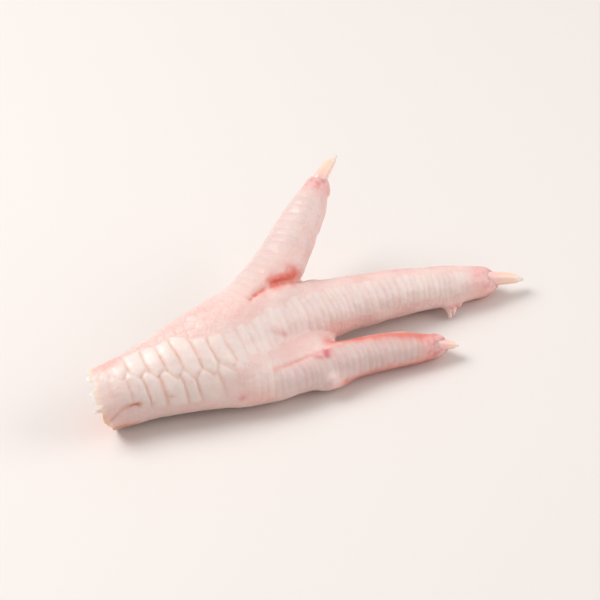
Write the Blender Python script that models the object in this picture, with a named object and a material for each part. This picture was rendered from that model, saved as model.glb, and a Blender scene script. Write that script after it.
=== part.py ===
"""A raw chicken foot, skinned and cleaned, cut off below the hock: shank, palm, three front toes,
hind toe and four claws. It is a right foot that lies with its back up, rolled towards its outer side."""

import bmesh
import bpy
import numpy as np
from mathutils import Vector, noise

# Driving sizes, in millimetres. +X runs from the shank to the middle toe, +Z is up.
MM = 0.001
CUT_MIDDLE = (-58.3, -7.8, 8.3)   # where the cut crosses the shank's middle line
CUT_SLANT = (0.27, -0.33)         # how far the cut runs along x for each millimetre of y and of z
CUT_ROUGH = 0.7          # unevenness of the cut
SKIN = 1.3               # thickness of the skin round the cut
GAP = 0.3                # clearance between neighbouring pieces
CORE_DEPTH = 38.0        # how far the flesh seen in the cut runs into the shank
CORE_START = 5           # where its first even ring lies behind the cut
CORE_RECESS = 0.9        # how far its end lies inside the rim of the skin
CORE_TAPER = 0.45        # how much narrower it gets, at most, on its way in
CORE_THINS = 51.0        # how far in it would have got that narrow
PALM_BLEND = 2.4         # how softly the limbs join in the palm
TOE_BLEND = 0.7          # how softly they join between the toes
BLEND_ENDS = (-22, -6)   # where along x the one turns into the other
TIP_STRETCH = 1.45       # length of a limb's rounded end, as a share of its radius there
LIMB_SIDES = 24
CUT_BLOCK = 16.0         # half the size of the block that is taken off at the cut
CUT_GRID = 16            # squares along each side of its front
POCKET_OUT = 6           # how far the cutter of the pocket reaches out of the cut
VOXEL = 0.5              # grid on which the limbs are fused
FIT_STEPS = 5            # steps that bring the fused points onto the smooth form
FIT_STRIDE = 2           # the farthest that one of them moves a point
KEPT_FACES = 0.087       # share of the fused faces that the finished skin keeps
PLACE = (-1.25, -1.7, 0)  # brings the underside's middle to the origin

# Limbs. Each station: x, y, z of the middle line, then half the width, reach to the back and to the sole.
LIMBS = {
    "shank": [
        (-68.0, -8.0, 7.7, 8.0, 7.2, 7.4),
        (-57.6, -7.8, 8.3, 8.2, 7.4, 7.5),
        (-44.2, -8.1, 9.8, 9.2, 7.7, 7.6),
        (-31.4, -8.0, 11.6, 10.4, 7.8, 7.8),
        (-17.4, -6.4, 12.2, 9.6, 7.2, 7.2),
        (-1.7, -4.2, 10.9, 8.6, 6.8, 6.8),
        (13.7, -2.8, 9.3, 7.2, 6.3, 6.4),
        (28.6, -2.9, 7.7, 6.2, 5.7, 5.9),
        (42.8, -4.4, 6.2, 5.2, 4.8, 5.2),
        (50.6, -5.6, 5.4, 4.3, 4.0, 4.6),
    ],
    "inner_toe": [
        (-36.9, -3.8, 11.0, 5.2, 4.8, 4.8),
        (-24.7, -1.9, 14.0, 6.2, 5.6, 5.6),
        (-12.2, 1.5, 17.0, 7.0, 5.6, 5.6),
        (-1.9, 7.2, 20.0, 6.9, 5.3, 5.4),
        (7.6, 14.8, 23.5, 5.7, 4.9, 5.2),
        (14.2, 20.2, 26.6, 4.5, 4.1, 4.4),
        (17.2, 22.7, 28.0, 3.4, 3.4, 3.6),
    ],
    "outer_toe": [
        (-38.9, -12.0, 9.4, 4.8, 4.6, 4.6),
        (-30.3, -14.6, 8.4, 5.2, 5.0, 5.0),
        (-20.8, -17.8, 7.2, 5.2, 5.0, 5.0),
        (-13.1, -19.0, 6.4, 5.0, 4.9, 4.9),
        (-5.6, -18.8, 6.0, 5.0, 4.9, 4.9),
        (2.0, -18.9, 5.8, 5.3, 5.1, 5.1),
        (8.9, -19.0, 5.3, 4.9, 4.8, 4.8),
        (17.3, -19.9, 4.8, 4.7, 4.6, 4.7),
        (22.6, -21.1, 4.5, 4.2, 4.0, 4.3),
        (27.0, -22.2, 4.2, 3.4, 3.4, 3.6),
    ],
    "hind_toe": [
        (-20.0, -2.6, 9.4, 5.0, 4.8, 4.8),
        (-26.0, 1.8, 8.0, 4.8, 4.6, 4.6),
        (-33.0, 5.2, 6.0, 4.5, 4.3, 4.4),
        (-39.5, 6.6, 4.5, 4.1, 4.0, 4.1),
        (-44.0, 6.6, 3.7, 3.3, 3.3, 3.4),
    ],
    "palm_pad": [
        (-24.0, -8.5, 8.6, 8.4, 5.0, 5.2),
        (-13.0, -8.0, 8.2, 8.4, 5.0, 5.2),
    ],
    "side_pad": [
        (-2.2, -21.7, 4.6, 3.2, 3.1, 3.2),
        (-0.6, -21.9, 4.4, 3.0, 3.0, 3.0),
    ],
    "web": [
        (-3.0, 2.6, 12.5, 3.6, 3.2, 3.4),
        (5.0, 3.6, 11.6, 3.0, 2.8, 3.0),
    ],
    "inner_web": [
        (-12.0, -4.6, 18.4, 2.6, 2.6, 2.6),
        (-5.3, -2.5, 18.5, 2.6, 2.6, 2.6),
        (1.0, 0.0, 16.3, 2.5, 2.5, 2.5),
        (5.6, 1.6, 13.4, 2.4, 2.4, 2.4),
    ],
    "outer_web": [
        (-18.0, -13.0, 9.4, 4.4, 4.4, 4.4),
        (-9.0, -13.4, 8.8, 4.2, 4.2, 4.2),
        (-3.0, -12.8, 8.0, 3.8, 3.8, 3.8),
        (0.5, -12.0, 7.2, 3.2, 3.2, 3.2),
    ],
}
# How far each limb is rolled towards the outer side, in degrees, at its start and its end.
ROLLS = {
    "shank": (50, 34), "inner_toe": (0, 0), "outer_toe": (46, 42), "hind_toe": (-30, -20),
    "palm_pad": (30, 30), "side_pad": (40, 40), "web": (20, 20), "inner_web": (0, 0), "outer_web": (40, 40),
}

# Claws: the toe that carries each, how far it reaches beyond the toe's end and back into it, its root's
# height, how blunt it is, how high it sits above the toe's middle line, and its droop and turn.
CLAWS = {
    "claw_middle": ("shank", 7.4, 5.6, 4.9, 6.0, 1.5, 2.0, 0.5),
    "claw_inner": ("inner_toe", 7.5, 4.4, 4.9, 4.0, 1.1, 0.6, -1.3),
    "claw_outer": ("outer_toe", 2.8, 4.5, 4.0, 3.0, 1.3, 1.2, 0.3),
    "claw_hind": ("hind_toe", 4.8, 4.2, 3.9, 3.0, 1.0, 1.0, 0.0),
}
CLAW_TIP = 0.25          # radius of a claw's blunt tip
CLAW_TAPER = 0.5         # how much thinner a claw gets before its point
CLAW_ROOT = (0.7, 0.25)  # how thin a claw starts in its toe, and the share over which it gets full
CLAW_FLAT = 0.88         # a claw's width as a share of its height
CLAW_SIDES = 12
CLAW_RINGS = 11

# Scutes on the shank and bands on the toes: height, flatness of the crown, and pitch along the run.
SCUTE_HEIGHT = 0.48
SCUTE_CROWN = 2.4
BAND_HEIGHT = 0.2
BAND_CROWN = 2.0
SHANK_PITCH = ((0, 4.3), (36, 4.2), (44, 3.2), (50, 2.2), (70, 2.2), (75, 1.6), (82, 1.6), (86, 2.3),
               (96, 2.3), (100, 1.6), (122, 1.6))
SCUTES_END = (38, 46)    # stretch of the run over which the scutes turn into bands
SCUTES_FADE = 6          # the last bands sink into the skin over this length before the toe's end
SCUTES_SHARE = (0.08, 0.4)  # the scales fade where the shank has less than this share in the form
BANDS_RISE = (14, 22)    # stretch of the run over which the other toes' bands begin
BANDS_FADE = 4
# Edges of the scutes and bands on the shank and the middle toe: the run along it and the angle there,
# in radians from the back and positive towards the outer side.
ROW_TOP = ((10, -1.2), (22, -1.12), (31, -0.87), (37, -0.56), (44, -0.34), (51, -0.38), (60, -0.54),
           (71, -0.72), (82, -0.7), (97, -0.58), (109, -0.43))
SEAM = ((10, -0.6), (17, -0.47), (24, -0.12), (31, 0.27), (37, 0.46), (44, 0.55), (52, 0.67), (61, 0.69),
        (70, 0.77), (80, 0.82), (108, 0.85))
ROW_BOTTOM = ((10, 0.3), (15, 0.5), (21, 0.85), (27, 1.02), (31, 1.08), (40, 1.15), (48, 1.2))
SEAM_WAVE = 0.12         # how far the seam between the two rows of scutes zigzags
SEAM_DIP = (0.55, 0.09)  # how much lower the scutes lie at the seam, and over what angle
# Bands of the other toes: the angles between which they lie, and their pitch.
BANDS = {"inner_toe": (-1.1, 0.7, 2.8), "outer_toe": (-0.95, 1.15, 1.75), "hind_toe": (-1.0, 1.0, 2.1)}
# Pads under the toes, parted by creases.
PAD_PITCH = 11.0
PAD_HEIGHT = 1.0
PAD_CROWN = 6
PAD_ANGLES = (1.9, 2.5)  # where a pad begins and is full, as an angle from the back
PAD_RISE = 8             # length over which the first pad rises
PADS_START = {"shank": 62, "inner_toe": 16, "outer_toe": 16, "hind_toe": 16}  # run where they start
SWELLS = ((7.5, 0.32), (2.5, 0.12))  # width and height of the skin's soft unevenness


def clear_scene():
    for thing in list(bpy.context.scene.objects):
        bpy.data.objects.remove(thing, do_unlink=True)


def make_material(name, colour, roughness):
    material = bpy.data.materials.new(name)
    material.use_nodes = True
    shader = material.node_tree.nodes["Principled BSDF"]
    shader.inputs["Base Color"].default_value = (*colour, 1.0)
    shader.inputs["Roughness"].default_value = roughness
    return material


def ramp(value, low, high):
    t = np.clip((value - low) / (high - low), 0, 1)
    return t * t * (3 - 2 * t)


def unit(vectors):
    return vectors / np.linalg.norm(vectors, axis=-1, keepdims=True)


def smooth_rows(rows, step):
    """Points about every step millimetres on a smooth curve through the rows."""
    rows = np.array(rows, float)
    padded = np.vstack([2 * rows[0] - rows[1], rows, 2 * rows[-1] - rows[-2]])
    stretches = []
    for a, b, c, d in zip(padded, padded[1:], padded[2:], padded[3:]):
        count = max(2, round(float(np.linalg.norm((c - b)[:3])) / step))
        t = np.arange(count)[:, None] / count
        stretches.append(0.5 * (2 * b + (c - a) * t + (2 * a - 5 * b + 4 * c - d) * t ** 2
                                + (3 * b - a - 3 * c + d) * t ** 3))
    return np.vstack(stretches + [rows[-1:]])


class Limb:
    """A tapering limb of oval section: its middle line, frame and reaches at each sample."""

    def __init__(self, rows, rolls, step=1.5):
        samples = smooth_rows(rows, step)
        self.line = samples[:, :3]
        self.reach = samples[:, 3:]
        self.run = np.concatenate([[0], np.cumsum(np.linalg.norm(np.diff(self.line, axis=0), axis=1))])
        self.ahead = unit(np.gradient(self.line, axis=0))
        up = unit(np.array([0, 0, 1.0]) - self.ahead[:, 2:3] * self.ahead)
        left = np.cross(up, self.ahead)
        roll = np.radians(np.interp(self.run, [0, self.run[-1]], rolls))[:, None]
        self.back = np.cos(roll) * up - np.sin(roll) * left
        self.side = np.cos(roll) * left + np.sin(roll) * up

    def nearest(self, points):
        """The stretch of the middle line nearest to each point, and how far along that stretch."""
        best = np.full(len(points), np.inf)
        index = np.zeros(len(points), int)
        part = np.zeros(len(points))
        for i, start in enumerate(self.line[:-1]):
            span = self.line[i + 1] - start
            t = np.clip((points - start) @ span / (span @ span), 0, 1)
            gap = ((points - start - t[:, None] * span) ** 2).sum(axis=1)
            closer = gap < best
            best[closer] = gap[closer]
            index[closer] = i
            part[closer] = t[closer]
        return index, part

    def measure(self, points):
        """Distance from the limb's surface, the way out, the run along it and the angle from its back."""
        index, part = self.nearest(points)

        def mix(values):
            weight = part if values.ndim == 1 else part[:, None]
            return values[index] * (1 - weight) + values[index + 1] * weight

        offset = points - mix(self.line)
        reach = mix(self.reach)
        ahead, back, side = (unit(mix(v)) for v in (self.ahead, self.back, self.side))
        across, height, beyond = ((offset * v).sum(axis=1) for v in (side, back, ahead))
        wide = reach[:, 0]
        deep = np.where(height > 0, reach[:, 1], reach[:, 2])
        end = (wide + deep) / 2 * TIP_STRETCH
        level = np.sqrt((across / wide) ** 2 + (height / deep) ** 2 + (beyond / end) ** 2) + 1e-9
        pull = (side * (across / wide ** 2)[:, None] + back * (height / deep ** 2)[:, None]
                + ahead * (beyond / end ** 2)[:, None])
        steep = np.linalg.norm(pull, axis=1) + 1e-9
        angle = np.arctan2(-across, height)
        return level * (level - 1) / steep, pull / steep[:, None], mix(self.run), angle

    def ring(self, i, sides, scale=1.0, grow=0.0, beyond=0.0):
        """The limb's section at sample i as a ring of points, moved beyond it along the limb."""
        turn = np.arange(sides) * 2 * np.pi / sides
        deep = np.where(np.cos(turn) > 0, self.reach[i, 1], self.reach[i, 2])
        wide = self.reach[i, 0]
        return (self.line[i] + self.ahead[i] * beyond
                + np.outer(np.sin(turn) * (wide * scale + grow), self.side[i])
                + np.outer(np.cos(turn) * (deep * scale + grow), self.back[i]))

    def end_length(self, i):
        return self.reach[i].mean() * TIP_STRETCH

    def rings(self, sides):
        """Rings along the whole limb and over its rounded ends."""
        swing = np.radians((80, 60, 35))
        first = [self.ring(0, sides, np.cos(a), 0, -self.end_length(0) * np.sin(a)) for a in swing]
        middle = [self.ring(i, sides) for i in range(len(self.line))]
        last = [self.ring(-1, sides, np.cos(a), 0, self.end_length(-1) * np.sin(a)) for a in swing[::-1]]
        return first + middle + last


def join_field(points, limbs):
    """All limbs joined smoothly: distance, the way out, each limb's share and its own measures."""
    found = {name: limb.measure(points) for name, limb in limbs.items()}
    gaps = np.array([f[0] for f in found.values()])
    nearest = gaps.min(axis=0)
    blend = PALM_BLEND + (TOE_BLEND - PALM_BLEND) * ramp(points[:, 0], *BLEND_ENDS)
    power = np.exp((nearest - gaps) / blend)
    total = power.sum(axis=0)
    share = power / total
    way = unit(sum(s[:, None] * f[1] for s, f in zip(share, found.values())))
    return nearest - blend * np.log(total), way, dict(zip(found, share)), found


def phase_along(run, pitches):
    """How many scales lie between a limb's start and each run, for a pitch that changes."""
    grid = np.linspace(pitches[0][0], pitches[-1][0], 400)
    size = np.interp(grid, *zip(*pitches))
    count = np.concatenate([[0], np.cumsum(np.diff(grid) / ((size[1:] + size[:-1]) / 2))])
    return np.interp(run, grid, count)


def puff(phase, crown):
    """One on a scale's middle and nought in the groove at each whole phase; a high crown is flatter."""
    return 1 - np.abs(2 * (phase % 1) - 1) ** crown


def patch(angle, low, high):
    """A domed span of angles, nought outside low to high."""
    return puff(np.clip((angle - low) / (high - low), 0, 1 - 1e-9), 6)


def shank_relief(run, angle, length):
    """Two interlocking rows of scutes on the shank, then one row of bands along the middle toe."""
    phase = phase_along(run, SHANK_PITCH)
    to_band = ramp(run, *SCUTES_END)
    top, seam, bottom = (np.interp(run, *zip(*edge)) for edge in (ROW_TOP, SEAM, ROW_BOTTOM))
    seam = seam + SEAM_WAVE * (1 - 2 * np.abs(2 * (phase % 1) - 1)) * (1 - to_band)
    bottom = bottom + (seam - bottom) * to_band
    phase = np.where((angle < seam) | (run > SCUTES_END[1]), phase, phase + 0.5)
    crown = SCUTE_CROWN + (BAND_CROWN - SCUTE_CROWN) * to_band
    dip, reach = SEAM_DIP
    dip = dip * np.exp(-((angle - seam) / reach) ** 2) * (1 - to_band)
    height = (SCUTE_HEIGHT + (BAND_HEIGHT - SCUTE_HEIGHT) * to_band) * (1 - dip)
    fade = 1 - ramp(run, length - SCUTES_FADE, length)
    return height * puff(phase, crown) * patch(angle, top, bottom) * fade


def band_relief(run, angle, length, low, high, pitch):
    """Bands across the back of a toe, between two angles."""
    bands = puff(run / pitch, BAND_CROWN) * patch(angle, low, high)
    return BAND_HEIGHT * bands * ramp(run, *BANDS_RISE) * (1 - ramp(run, length - BANDS_FADE, length))


def pad_relief(run, angle, length, start):
    """Plump pads under a toe, parted by creases, from start to its end."""
    under = ramp(np.abs(angle), *PAD_ANGLES)
    pads = PAD_HEIGHT * under * puff((length - run) / PAD_PITCH, PAD_CROWN)
    return pads * ramp(run, start, start + PAD_RISE)


def relief(limbs, share, found):
    """Height of the scales and pads above the smooth form."""
    height = 0
    for name, pads_start in PADS_START.items():
        _, _, run, angle = found[name]
        length = limbs[name].run[-1]
        if name == "shank":
            scales = ramp(share[name], *SCUTES_SHARE) * shank_relief(run, angle, length)
        else:
            scales = share[name] * band_relief(run, angle, length, *BANDS[name])
        height = height + scales + share[name] * pad_relief(run, angle, length, pads_start)
    return height


def unevenness(points):
    """Soft swells and hollows, so that no stretch is as smooth as a turned part."""
    heights = [sum(high * noise.noise(Vector(p) / wide) for wide, high in SWELLS) for p in points]
    return np.array(heights)


def add_mesh(name, mesh, frame):
    """A bmesh as an object on the foot's frame."""
    bmesh.ops.recalc_face_normals(mesh, faces=mesh.faces)
    data = bpy.data.meshes.new(name)
    mesh.to_mesh(data)
    mesh.free()
    thing = bpy.data.objects.new(name, data)
    thing.parent = frame
    bpy.context.scene.collection.objects.link(thing)
    return thing


def add_tube(mesh, rings):
    """Adds a closed tube through rings of points, with a flat cap at each end."""
    loops = [[mesh.verts.new(Vector(p) * MM) for p in ring] for ring in rings]
    for one, two in zip(loops, loops[1:]):
        for k in range(len(one)):
            after = (k + 1) % len(one)
            mesh.faces.new((one[k], one[after], two[after], two[k]))
    mesh.faces.new(loops[0][::-1])
    mesh.faces.new(loops[-1])


def loft(name, rings, frame):
    mesh = bmesh.new()
    add_tube(mesh, rings)
    return add_mesh(name, mesh, frame)


def rough_body(limbs, frame):
    """The limbs as plain tubes, fused into one closed body by a voxel remesh."""
    mesh = bmesh.new()
    for limb in limbs.values():
        add_tube(mesh, limb.rings(LIMB_SIDES))
    body = add_mesh("foot", mesh, frame)
    remesh = body.modifiers.new("Fuse", "REMESH")
    remesh.mode = "VOXEL"
    remesh.voxel_size = VOXEL * MM
    ready = body.evaluated_get(bpy.context.evaluated_depsgraph_get())
    body.data = bpy.data.meshes.new_from_object(ready)
    body.modifiers.clear()
    return body


def shape_body(body, limbs):
    """Moves the rough body's points onto the smooth form, then raises the scales."""
    points = np.empty(len(body.data.vertices) * 3)
    body.data.vertices.foreach_get("co", points)
    points = points.reshape(-1, 3) / MM
    for _ in range(FIT_STEPS):
        distance, way, _, _ = join_field(points, limbs)
        points -= way * np.clip(distance, -FIT_STRIDE, FIT_STRIDE)[:, None]
    _, way, share, found = join_field(points, limbs)
    points += way * (relief(limbs, share, found) + unevenness(points))[:, None]
    points[:, 2] = np.maximum(points[:, 2], 0)
    body.data.vertices.foreach_set("co", (points * MM).ravel())
    body.data.update()


def cut_away(body, cutter):
    cutter.hide_render = True
    cutter.display_type = "WIRE"
    cut = body.modifiers.new(cutter.name, "BOOLEAN")
    cut.operation = "DIFFERENCE"
    cut.object = cutter


def cut_place(y, z):
    """Where the slanted cut lies along x."""
    x, middle_y, middle_z = CUT_MIDDLE
    return x + CUT_SLANT[0] * (y - middle_y) + CUT_SLANT[1] * (z - middle_z)


def cut_block(frame):
    """A block whose front is the slanted, slightly uneven plane of the cut."""
    block = bmesh.new()
    bmesh.ops.create_grid(block, x_segments=CUT_GRID, y_segments=CUT_GRID, size=CUT_BLOCK)
    for vert in block.verts:
        y, z = vert.co.x + CUT_MIDDLE[1], vert.co.y + CUT_MIDDLE[2]
        wave = CUT_ROUGH * noise.noise(Vector((y, z, 3)) * 0.35)
        vert.co = Vector((cut_place(y, z) + wave, y, z)) * MM
    away = bmesh.ops.extrude_face_region(block, geom=list(block.faces))
    for vert in (v for v in away["geom"] if isinstance(v, bmesh.types.BMVert)):
        vert.co.x -= 2 * CUT_BLOCK * MM
    return add_mesh("cut_end", block, frame)


def core_rings(limb, grow, outside):
    """Rings of the flesh inside the shank, from the cut towards the palm."""
    x = limb.line[:, 0]
    start, stop = CUT_MIDDLE[0], CUT_MIDDLE[0] + CORE_DEPTH
    taper = 1 - CORE_TAPER * ramp(x, start, start + CORE_THINS)
    inside = np.flatnonzero((x > start + CORE_START) & (x < stop))[::2]
    rings = [limb.ring(i, LIMB_SIDES, taper[i], grow - SKIN) for i in inside]
    front = rings[0].copy()
    front[:, 0] = cut_place(front[:, 1], front[:, 2]) + CORE_RECESS - outside
    rings[-1][:, 0] += grow
    return [front] + rings


def claw_rings(limb, size, grow):
    """Rings of a claw that leaves the end of a toe and bends down, grown on all sides."""
    length, depth, width, bluntness, lift, droop, turn = size
    ahead, back, side = limb.ahead[-1], limb.back[-1], limb.side[-1]
    root = limb.line[-1] + ahead * (limb.end_length(-1) - depth) + back * lift
    bend = side * turn - np.array([0, 0, droop])
    turns = np.arange(CLAW_SIDES) * 2 * np.pi / CLAW_SIDES
    rings = []
    for share in np.linspace(0, 1, CLAW_RINGS):
        push = grow * (2 * share - 1)
        centre = root + ahead * (share * (depth + length) + push) + bend * share ** 2
        point = np.sqrt(1 - share ** bluntness)
        full = CLAW_ROOT[0] + (1 - CLAW_ROOT[0]) * ramp(share, 0, CLAW_ROOT[1])
        radius = width / 2 * (1 - CLAW_TAPER * share) * point * full + CLAW_TIP * share + grow
        rings.append(centre + np.outer(np.sin(turns) * radius * CLAW_FLAT, side)
                     + np.outer(np.cos(turns) * radius, back))
    return rings


def finish_node(thing, material):
    thing.data.materials.clear()
    thing.data.materials.append(material)
    thing.data.shade_smooth()


def main():
    clear_scene()
    skin = make_material("skin", (0.86, 0.68, 0.62), 0.38)
    flesh = make_material("flesh", (0.62, 0.17, 0.15), 0.35)
    horn = make_material("claw", (0.89, 0.76, 0.62), 0.3)
    frame = bpy.data.objects.new("chicken_foot", None)
    frame.location = Vector(PLACE) * MM
    bpy.context.scene.collection.objects.link(frame)
    limbs = {name: Limb(rows, ROLLS[name]) for name, rows in LIMBS.items()}

    foot = rough_body(limbs, frame)
    shape_body(foot, limbs)
    finish_node(foot, skin)
    thin = foot.modifiers.new("Thin out", "DECIMATE")
    thin.ratio = KEPT_FACES
    cut_away(foot, cut_block(frame))
    cut_away(foot, loft("pocket", core_rings(limbs["shank"], GAP, POCKET_OUT), frame))
    finish_node(loft("shank_core", core_rings(limbs["shank"], 0, 0), frame), flesh)
    for name, (toe, *size) in CLAWS.items():
        cut_away(foot, loft(name + "_socket", claw_rings(limbs[toe], size, GAP), frame))
        finish_node(loft(name, claw_rings(limbs[toe], size, 0), frame), horn)


main()
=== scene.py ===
"""The looks of a raw chicken foot: skin with scutes, bands and folds, claws, and the tissue in the cut."""

import bmesh
import bpy
import numpy as np
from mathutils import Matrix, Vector, noise


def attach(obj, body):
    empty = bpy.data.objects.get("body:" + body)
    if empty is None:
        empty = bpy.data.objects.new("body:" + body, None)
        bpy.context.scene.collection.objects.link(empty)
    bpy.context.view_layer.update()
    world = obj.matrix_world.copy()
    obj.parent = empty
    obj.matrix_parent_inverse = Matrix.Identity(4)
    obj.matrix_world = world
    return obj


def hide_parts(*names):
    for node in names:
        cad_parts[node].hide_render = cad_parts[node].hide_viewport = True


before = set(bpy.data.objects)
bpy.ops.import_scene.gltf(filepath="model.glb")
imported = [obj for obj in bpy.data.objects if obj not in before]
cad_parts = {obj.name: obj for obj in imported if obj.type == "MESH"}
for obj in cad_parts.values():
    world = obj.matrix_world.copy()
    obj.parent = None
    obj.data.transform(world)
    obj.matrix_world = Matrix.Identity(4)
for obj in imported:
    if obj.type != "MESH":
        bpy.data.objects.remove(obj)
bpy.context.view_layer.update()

# The construction's own sizes, in millimetres, repeated so that the skin lies where the solid does.
MM = 0.001
CUT_MIDDLE = (-58.3, -7.8, 8.3)
CUT_SLANT = (0.27, -0.33)
CUT_ROUGH = 0.7
SKIN = 1.3
CORE_DEPTH = 38.0
CORE_RECESS = 0.9
CORE_TAPER = 0.45
CORE_THINS = 51.0
PALM_BLEND = 2.4
TOE_BLEND = 0.7
BLEND_ENDS = (-22, -6)
TIP_STRETCH = 1.45
PLACE = (-1.25, -1.7, 0)
LIMBS = {
    "shank": [
        (-68.0, -8.0, 7.7, 8.0, 7.2, 7.4),
        (-57.6, -7.8, 8.3, 8.2, 7.4, 7.5),
        (-44.2, -8.1, 9.8, 9.2, 7.7, 7.6),
        (-31.4, -8.0, 11.6, 10.4, 7.8, 7.8),
        (-17.4, -6.4, 12.2, 9.6, 7.2, 7.2),
        (-1.7, -4.2, 10.9, 8.6, 6.8, 6.8),
        (13.7, -2.8, 9.3, 7.2, 6.3, 6.4),
        (28.6, -2.9, 7.7, 6.2, 5.7, 5.9),
        (42.8, -4.4, 6.2, 5.2, 4.8, 5.2),
        (50.6, -5.6, 5.4, 4.3, 4.0, 4.6),
    ],
    "inner_toe": [
        (-36.9, -3.8, 11.0, 5.2, 4.8, 4.8),
        (-24.7, -1.9, 14.0, 6.2, 5.6, 5.6),
        (-12.2, 1.5, 17.0, 7.0, 5.6, 5.6),
        (-1.9, 7.2, 20.0, 6.9, 5.3, 5.4),
        (7.6, 14.8, 23.5, 5.7, 4.9, 5.2),
        (14.2, 20.2, 26.6, 4.5, 4.1, 4.4),
        (17.2, 22.7, 28.0, 3.4, 3.4, 3.6),
    ],
    "outer_toe": [
        (-38.9, -12.0, 9.4, 4.8, 4.6, 4.6),
        (-30.3, -14.6, 8.4, 5.2, 5.0, 5.0),
        (-20.8, -17.8, 7.2, 5.2, 5.0, 5.0),
        (-13.1, -19.0, 6.4, 5.0, 4.9, 4.9),
        (-5.6, -18.8, 6.0, 5.0, 4.9, 4.9),
        (2.0, -18.9, 5.8, 5.3, 5.1, 5.1),
        (8.9, -19.0, 5.3, 4.9, 4.8, 4.8),
        (17.3, -19.9, 4.8, 4.7, 4.6, 4.7),
        (22.6, -21.1, 4.5, 4.2, 4.0, 4.3),
        (27.0, -22.2, 4.2, 3.4, 3.4, 3.6),
    ],
    "hind_toe": [
        (-20.0, -2.6, 9.4, 5.0, 4.8, 4.8),
        (-26.0, 1.8, 8.0, 4.8, 4.6, 4.6),
        (-33.0, 5.2, 6.0, 4.5, 4.3, 4.4),
        (-39.5, 6.6, 4.5, 4.1, 4.0, 4.1),
        (-44.0, 6.6, 3.7, 3.3, 3.3, 3.4),
    ],
    "palm_pad": [
        (-24.0, -8.5, 8.6, 8.4, 5.0, 5.2),
        (-13.0, -8.0, 8.2, 8.4, 5.0, 5.2),
    ],
    "side_pad": [
        (-2.2, -21.7, 4.6, 3.2, 3.1, 3.2),
        (-0.6, -21.9, 4.4, 3.0, 3.0, 3.0),
    ],
    "web": [
        (-3.0, 2.6, 12.5, 3.6, 3.2, 3.4),
        (5.0, 3.6, 11.6, 3.0, 2.8, 3.0),
    ],
    "inner_web": [
        (-12.0, -4.6, 18.4, 2.6, 2.6, 2.6),
        (-5.3, -2.5, 18.5, 2.6, 2.6, 2.6),
        (1.0, 0.0, 16.3, 2.5, 2.5, 2.5),
        (5.6, 1.6, 13.4, 2.4, 2.4, 2.4),
    ],
    "outer_web": [
        (-18.0, -13.0, 9.4, 4.4, 4.4, 4.4),
        (-9.0, -13.4, 8.8, 4.2, 4.2, 4.2),
        (-3.0, -12.8, 8.0, 3.8, 3.8, 3.8),
        (0.5, -12.0, 7.2, 3.2, 3.2, 3.2),
    ],
}
ROLLS = {
    "shank": (50, 34), "inner_toe": (0, 0), "outer_toe": (46, 42), "hind_toe": (-30, -20),
    "palm_pad": (30, 30), "side_pad": (40, 40), "web": (20, 20), "inner_web": (0, 0), "outer_web": (40, 40),
}
# Claws: the toe that carries each, how far it reaches beyond the toe's end and back into it, its root's
# height, how blunt it is, how high it sits above the toe's middle line, and its droop and turn.
CLAWS = {
    "claw_middle": ("shank", 7.4, 5.6, 4.9, 6.0, 1.5, 2.0, 0.5),
    "claw_inner": ("inner_toe", 7.5, 4.4, 4.9, 4.0, 1.1, 0.6, -1.3),
    "claw_outer": ("outer_toe", 2.8, 4.5, 4.0, 3.0, 1.3, 1.2, 0.3),
    "claw_hind": ("hind_toe", 4.8, 4.2, 3.9, 3.0, 1.0, 1.0, 0.0),
}
CLAW_TIP = 0.25
CLAW_TAPER = 0.5
CLAW_ROOT = (0.7, 0.25)
CLAW_FLAT = 0.88

# Scutes on the shank and bands on the toes, as in the construction.
SCUTE_HEIGHT = 0.48
SCUTE_CROWN = 2.4
BAND_HEIGHT = 0.12
BAND_CROWN = 2.0
SHANK_PITCH = ((0, 4.3), (36, 4.2), (44, 3.2), (50, 2.2), (70, 2.2), (75, 1.6), (82, 1.6), (86, 2.3),
               (96, 2.3), (100, 1.6), (122, 1.6))
SCUTES_END = (38, 46)
SCUTES_FADE = 6
SCUTES_SHARE = (0.08, 0.4)
BANDS_RISE = (14, 22)
BANDS_FADE = 4
# Edges of the scutes and bands on the shank and the middle toe: the run along it and the angle there.
ROW_TOP = ((10, -1.2), (22, -1.12), (31, -0.87), (37, -0.56), (44, -0.34), (51, -0.38), (60, -0.54),
           (71, -0.72), (82, -0.7), (97, -0.58), (109, -0.43))
SEAM = ((10, -0.6), (17, -0.47), (24, -0.12), (31, 0.27), (37, 0.46), (44, 0.55), (52, 0.67), (61, 0.69),
        (70, 0.77), (80, 0.82), (108, 0.85))
ROW_BOTTOM = ((10, 0.3), (15, 0.5), (21, 0.85), (27, 1.02), (31, 1.08), (40, 1.15), (48, 1.2))
SEAM_WAVE = 0.12
SEAM_DIP = (0.55, 0.09)
BANDS = {"inner_toe": (-1.1, 0.7, 2.8), "outer_toe": (-0.95, 1.15, 1.75), "hind_toe": (-1.0, 1.0, 2.1)}
PAD_PITCH = 11.0
PAD_HEIGHT = 1.0
PAD_CROWN = 6
PAD_ANGLES = (1.9, 2.5)
PAD_RISE = 8
PADS_START = {"shank": 62, "inner_toe": 16, "outer_toe": 16, "hind_toe": 16}
SWELLS = ((7.5, 0.32), (2.5, 0.12))

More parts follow.
